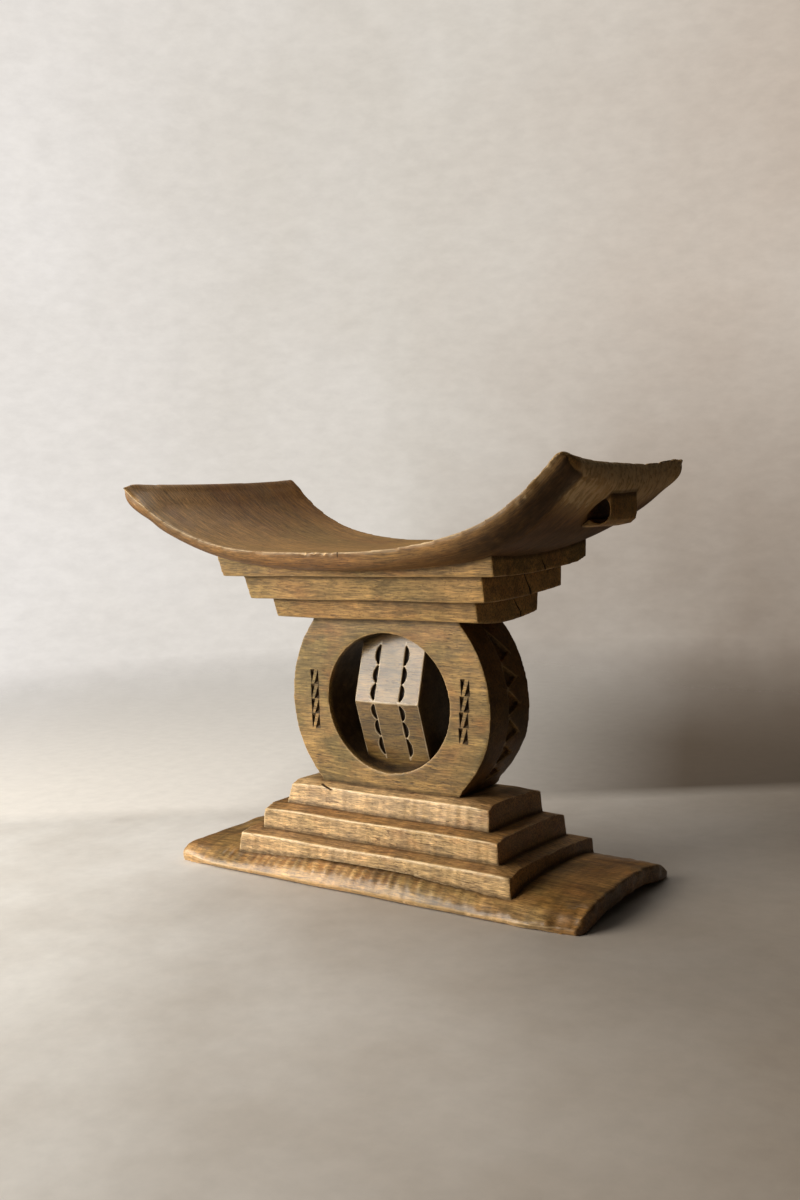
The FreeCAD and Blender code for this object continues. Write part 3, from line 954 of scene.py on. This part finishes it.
def crack_blade(line, face_x, width, depth):
    # a thin, uneven wedge: widest at the face, with its edge deep in the wood
    shape = bmesh.new()
    rings = []
    outside = face_x + 1.5 * mm
    for z, y, share in line:
        half = 0.5 * width * share
        ring = ((outside, y * mm - half), (outside, y * mm + half), (face_x - depth, y * mm))
        rings.append([shape.verts.new((x, side, z * mm)) for x, side in ring])
    for one, two in zip(rings, rings[1:]):
        for i in range(3):
            shape.faces.new((one[i], one[i - 1], two[i - 1], two[i]))
    shape.faces.new(rings[0])
    shape.faces.new(rings[-1][::-1])
    bmesh.ops.recalc_face_normals(shape, faces=shape.faces)
    return finished_mesh("crack", shape)


upper_finish = wood_finish(
    "tan wood of the upper steps",
    golden=(176, 137, 80),
    olive=(146, 118, 68),
    red_brown=(156, 112, 62),
    dark=(76, 52, 26),
    pale=(212, 178, 126),
    patches=10.0,
    figure=0.25,
    pores=0.75,
    polish=0.08,
)
# for each step: its upper seam, the seed of its marks and its crack's height, place and width, downwards
low_crack = ((311, 8.0, 0.4), (304, 13.6, 0.9), (299, 17.5, 1.1), (293, 23.8, 1.3), (284, 27.0, 1.4))
middle_crack = ((337, -2.5, 0.3), (331, 0.6, 0.8), (327, 3.0, 1.0), (320, 8.4, 1.5), (308, 14.0, 2.6))
top_crack = ((353, -4.6, 0.5), (347, -1.5, 0.8), (341, 3.0, 0.9), (335, 5.0, 0.9))
upper_tiers = {
    "upper_tier_bottom": (309.5 * mm, 81, low_crack),
    "upper_tier_middle": (335.0 * mm, 82, middle_crack),
    "upper_tier_top": (343.0 * mm, 83, top_crack),
}
for node, (seam, seed, line) in upper_tiers.items():
    low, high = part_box(node)
    tier = hewn_blank(node + "_carved", node, 1.5 * mm, reshape=raised(seam))
    rubbed_and_highlight = front_edges(-low.y - 22 * mm, -low.y - 8 * mm, high.x - 3 * mm, 0.28)
    age_surface(tier, seed, wear=0.25, rubbed_and_highlight=rubbed_and_highlight)
    # the crack is painted dark, as shade in it
    cut_away(tier, crack_blade(line, high.x, 2.0 * mm, 9 * mm))
    finish_piece(tier, node, upper_finish)


# Seat.
# A thick plank with upturned wings, hollowed along its length and rubbed smooth by use. Its front
# edge is golden and chipped, and its inner face is dark with a grain that follows the bow. Its front
# band is darkened by patina and painted shade, the inner face of its left wing and the underside of
# its right wing by painted shade.


def bowed_grain(piece):
    # where each point of the plank was before the bow: its fine grain runs along it
    points = coordinates(piece.data)
    spine = points[np.abs(points[:, 1]) < 40 * mm]
    bow = np.polynomial.Polynomial.fit(spine[:, 0], spine[:, 2], 6)
    points[:, 2] -= bow(points[:, 0])
    points[:, 1:] *= 1.7
    grain = piece.data.attributes.new("grain", "FLOAT_VECTOR", "POINT")
    grain.data.foreach_set("vector", points.ravel().astype(np.float32))


tip_row = 3 * mm
tip_slack = 0.4 * mm


def straighten_tips(surface):
    # the thin tip of each end lost its true line to the even mesh and gets the solid's line again
    solid = coordinates(frame["nodes"]["seat"].data)
    for side in (-1, 1):
        aim = np.array((0.35 * side, 0.0, 0.94))
        tips = solid[side * solid[:, 0] > 255 * mm]
        for _ in range(14):
            line = np.polynomial.Polynomial.fit(tips[:, 1], tips @ aim, 4)
            tips = tips[tips @ aim > line(tips[:, 1]) - tip_slack]
        y = surface.points[:, 1]
        reach = np.where(side * surface.points[:, 0] > 240 * mm, surface.points @ aim, -1.0)
        rows = np.round(y / tip_row).astype(int)
        rows -= rows.min()
        tops = np.full(rows.max() + 1, -1.0)
        np.maximum.at(tops, rows, reach)
        inner = np.clip(y, -132 * mm, 132 * mm)
        there = np.interp(inner, y.min() + tip_row * np.arange(len(tops)), tops)
        missing = np.clip(line(inner) - tip_slack - there, -2 * mm, 8 * mm)
        missing = missing * (1 - 0.8 * ease(side * y, 124 * mm, 143 * mm))
        tip = line(y) - missing
        step = missing * ease(reach, tip - 12 * mm, tip - 2 * mm)
        surface.points = surface.points + step[:, None] * aim


def hew_seat(surface):
    # the edges roll under, most of all on the right wing, and both ends are rounded noses
    x, y, z = surface.points.T
    for side in (-1, 1):
        upright = (side * surface.normals[:, 1] > 0.85) & (side * y > 118 * mm)
        middle = np.polynomial.Polynomial.fit(x[upright], z[upright], 6)
        below = np.clip((middle(x) + 6 * mm - z) / (20 * mm), 0, 1)
        edge = ease(side * y, 108 * mm, 124 * mm)
        roll = 3 * mm + (9 * mm * ease(x, 40 * mm, 190 * mm) if side == -1 else 0)
        y = y - side * edge * roll * below**1.4
        if side == -1:
            rubbed_and_highlight = ease(z, middle(x) + 2 * mm, middle(x) + 6 * mm) * ease(-x, -276 * mm, -262 * mm)
            rubbed_and_highlight = rubbed_and_highlight * (0.35 + 0.6 * ease(-y, 100 * mm, 124 * mm))
            # the front band is darkened, more where it rolls under and on the right wing: partly patina and
            # grime from handling, partly painted shade
            facing = -surface.normals[:, 1] + 0.6 * np.clip(-surface.normals[:, 2], 0, 1)
            face = edge * ease(facing, 0.2, 0.6)
            wing_darkening = below**0.5 * ease(x, 70 * mm, 170 * mm)
            darkening = face * np.maximum(0.6 + 0.4 * ease(below, 0.3, 0.55), wing_darkening)
            band_grime_and_shade = 0.36 + 0.16 * ease(below, 0.3, 0.55) + 0.12 * ease(-x, 120 * mm, 200 * mm)
            band_grime_and_shade = band_grime_and_shade + ease(x, 110 * mm, 200 * mm) * (0.22 + 0.20 * ease(below, 0.05, 0.3))
            band_grime_and_shade = face * band_grime_and_shade
            ridge = edge * ease(below, 0.35, 0.8) * ease(x, 20 * mm, 90 * mm)
    end = ease(np.abs(x), 250 * mm, 272 * mm)
    corner = ease(np.abs(y), 112 * mm, 140 * mm)
    x = x - np.clip(0.7 * (x + 284 * mm), 0, 8 * mm) * corner * (x < 0) * (y < 0) * end
    x = x + 6.0 * mm * corner * (x > 0) * (y > 0) * end * ease(surface.normals[:, 0], 0.0, 0.4)
    y = y + np.sign(y) * 1.2 * mm * end * corner
    surface.points = np.stack([x, y, z], axis=1)
    blur_part(surface, end, 9)
    straighten_tips(surface)
    blur_part(surface, end, 2)
    blur_part(surface, end * corner, 26)
    surface.move(2.2 * mm * end * corner)
    x, y, z = surface.points.T
    nose = ease(-x, 277 * mm, 284 * mm) * ease(-y, 135 * mm, 143 * mm)
    surface.points = np.stack([x, y, z - 2.2 * mm * nose], axis=1)
    blur_part(surface, end * ease(np.abs(y), 130 * mm, 141 * mm), 7)
    lower_edge = ease(np.abs(x), 232 * mm, 256 * mm) * ease(middle(x) + 5 * mm - z, 0, 9 * mm)
    blur_part(surface, np.maximum(lower_edge, 0.9 * ridge), 50)
    keep_mask(surface.mesh, "rubbed_and_highlight", rubbed_and_highlight)
    # painted shade: the inner face of the left wing and the underside of the right wing are darkened
    inner_left = ease(-x, 150 * mm, 262 * mm) * ease(y, -120 * mm, 40 * mm)
    inner_left = inner_left * (surface.normals[:, 2] > 0.2)
    below_wing = ease(-surface.normals[:, 2], 0.1, 0.5) * ease(x, 90 * mm, 150 * mm)
    darkening = np.maximum(darkening, 0.9 * below_wing * ease(-x, -262 * mm, -238 * mm))
    keep_mask(surface.mesh, "patina_and_shade", np.maximum(darkening, 0.95 * inner_left))
    # the right end face is paled as dust; the dents along the front top edge get pale spots as painted
    # glints
    dust_and_glints = 0.75 * ease(x, 240 * mm, 266 * mm) * ease(surface.normals[:, 0], 0.25, 0.6)
    dust_and_glints = dust_and_glints * ease(y, -128 * mm, -112 * mm)
    for dent in to_metres(rim_dents):
        away = np.linalg.norm(surface.points - dent, axis=1)
        dented = np.exp(-((away / dent_reach) ** 2))
        surface.move(-dent_depth * dented)
        dust_and_glints = np.maximum(dust_and_glints, 0.85 * dented)
    keep_mask(surface.mesh, "dust_and_glints", dust_and_glints)
    # real stains on the inner face, joined below by the darkened front band and the painted shade under the
    # right wing
    stains = np.zeros(len(x))
    for stain_x, stain_y, reach in seat_stains:
        away = np.hypot((x - stain_x) / (1.9 * reach), (y - stain_y) / reach)
        stains = np.maximum(stains, np.exp(-away * away))
    patchy = np.clip(0.7 + 0.5 * wander(surface.points, 12 * mm, 93), 0, 1)
    stains = 0.3 * stains * patchy * (surface.normals[:, 2] > 0.2)
    underside_shade = 0.75 * below_wing * ease(-x, -278 * mm, -226 * mm)
    keep_mask(surface.mesh, "stain_and_shade", np.maximum(np.maximum(stains, band_grime_and_shade), underside_shade))


def seat_edges(points):
    # the front top edge is rubbed pale, with a painted highlight along it, all but the right wing's tip
    x, y, _ = points.T
    return 0.10 + 0.25 * ease(-y, 108 * mm, 122 * mm) * ease(-x, -275 * mm, -255 * mm)


def edge_chips(row):
    # small flakes off the front top edge: place, slope of the edge there, length, drop and depth
    chips = []
    for x, y, z, slope, length, drop, depth in row:
        run, rise = math.cos(math.radians(slope)), math.sin(math.radians(slope))
        corners = (
            (-0.5 * length, 0, 0),
            (0.5 * length, 0, 0),
            (0.1 * length, 0, -drop),
            (0.1 * length, -4, -drop),
            (-0.1 * length, depth, 0),
            (-0.1 * length, depth, 4),
            (-0.5 * length, -4, 4),
            (0.5 * length, -4, 4),
        )
        placed = [(x + run * a - rise * c, y + b, z + rise * a + run * c) for a, b, c in corners]
        chips.append(to_metres(placed))
    return chips


dent_reach = 2.8 * mm
dent_depth = 1.3 * mm
rim_dents = [(-27, -132, 365), (-8, -132, 365), (3, -132, 365.5), (228.8, -144, 408), (238, -144, 413)]
rim_dents += [(244, -144, 417.5), (252.9, -144.5, 427.5), (256, -144.5, 431.5)]
rim_dents += [(263, -145, 439.5), (268, -145, 445)]
seat_stains = to_metres([(-226, -60, 9), (-205, -72, 7), (-190, -78, 6)])
seat = hewn_blank("seat_carved", "seat", 2.1 * mm, 3)
age_surface(seat, 91, wear=0.25, rubbed_and_highlight=seat_edges, rounds=8, carve=hew_seat)
fold_mask(seat, "stain_and_shade", "dirt_and_shade", 1.0)
fold_mask(seat, "dust_and_glints", "edge_wear_and_highlights", 1.0)
flakes = edge_chips(
    (
        (-31, -132.3, 365.5, 2, 13, 2.6, 3.0),
        (-18, -132.3, 365.5, 2, 9, 2.0, 2.6),
        (-6, -132.3, 365.6, 3, 13, 3.4, 3.4),
        (5, -132.3, 365.9, 4, 9, 2.4, 2.8),
        (23.6, -132.4, 366.6, 6, 5, 2.0, 2.0),
    )
)
# the bared wood of the flakes is paled, as fresh wood and as painted highlight
cut_away(seat, hull_mesh("flakes", flakes), bare="edge_wear_and_highlights")
nick = [(11.8, -137, 369), (15.0, -137, 369), (13.2, -137, 356.5), (13.4, -128, 369), (13.2, -131, 361)]
side_split = [(-207, -152, 389.4), (-166, -152, 381.2), (-187, -152, 383.6)]
side_split += [(-185, -152, 386.4), (-187, -141, 385.2)]
# the nick and the split are painted dark, as shade in them
cut_away(seat, hull_mesh("splits", [to_metres(nick), to_metres(side_split)]))
bowed_grain(seat)
seat_finish = wood_finish(
    "brown wood of the seat",
    golden=(182, 136, 76),
    olive=(164, 126, 69),
    red_brown=(162, 115, 63),
    dark=(62, 41, 19),
    pale=(228, 194, 142),
    patches=6.0,
    figure=0.10,
    pores=0.8,
    polish=0.12,
    grain="grain",
    streaks=0.10,
)
finish_piece(seat, "seat", seat_finish)


# Handle lug.
# A small block left under the right wing and pierced from front to back, for a carrying cord.

lug = hewn_blank("handle_lug_carved", "handle_lug", 1.1 * mm, 3, raised(398 * mm))
age_surface(lug, 95, wear=0.4, rubbed_and_highlight=0.1)
bowed_grain(lug)
finish_piece(lug, "handle_lug", seat_finish)


# Dirt and painted shade where one form meets the next.
# The stool is one block, so the steps, the drum and the seat meet in sharp inner corners that no
# cloth reaches. Dust and oil, and painted shade, darken a narrow line along each of them.


def near_points(points, others, reach):
    # for each point, how far the nearest of the others is, if it is within reach
    low = others.min(axis=0) - reach
    high = others.max(axis=0) + reach
    gaps = np.full(len(points), reach)
    close = np.flatnonzero(((points > low) & (points < high)).all(axis=1))
    if len(close):
        low = points[close].min(axis=0) - reach
        high = points[close].max(axis=0) + reach
        others = others[((others > low) & (others < high)).all(axis=1)]
    if len(close) and len(others):
        tree = point_tree(others)
        gaps[close] = [tree.find(point)[2] for point in points[close]]
    return gaps


def settle_grime_and_shade(first, second, reach, strength):
    # darkens each of the two where it comes near the other, as dirt and painted shade
    for piece, other in ((first, second), (second, first)):
        gaps = near_points(coordinates(piece.data), coordinates(other.data), reach)
        keep_mask(piece.data, "grime_and_shade", 1 - ease(gaps, 1.2 * mm, reach))
        fold_mask(piece, "grime_and_shade", "dirt_and_shade", strength)


carved = {
    piece.name.removesuffix("_carved"): piece for piece in bpy.data.objects if piece.name.endswith("_carved")
}
stack = ("base_plate", "lower_tier_bottom", "lower_tier_middle", "lower_tier_top", "drum")
stack += ("upper_tier_bottom", "upper_tier_middle", "upper_tier_top", "seat", "handle_lug")
for under, over in zip(stack, stack[1:]):
    settle_grime_and_shade(carved[under], carved[over], 5 * mm, 0.7)
settle_grime_and_shade(carved["drum"], carved["drum_column"], 6 * mm, 0.8)
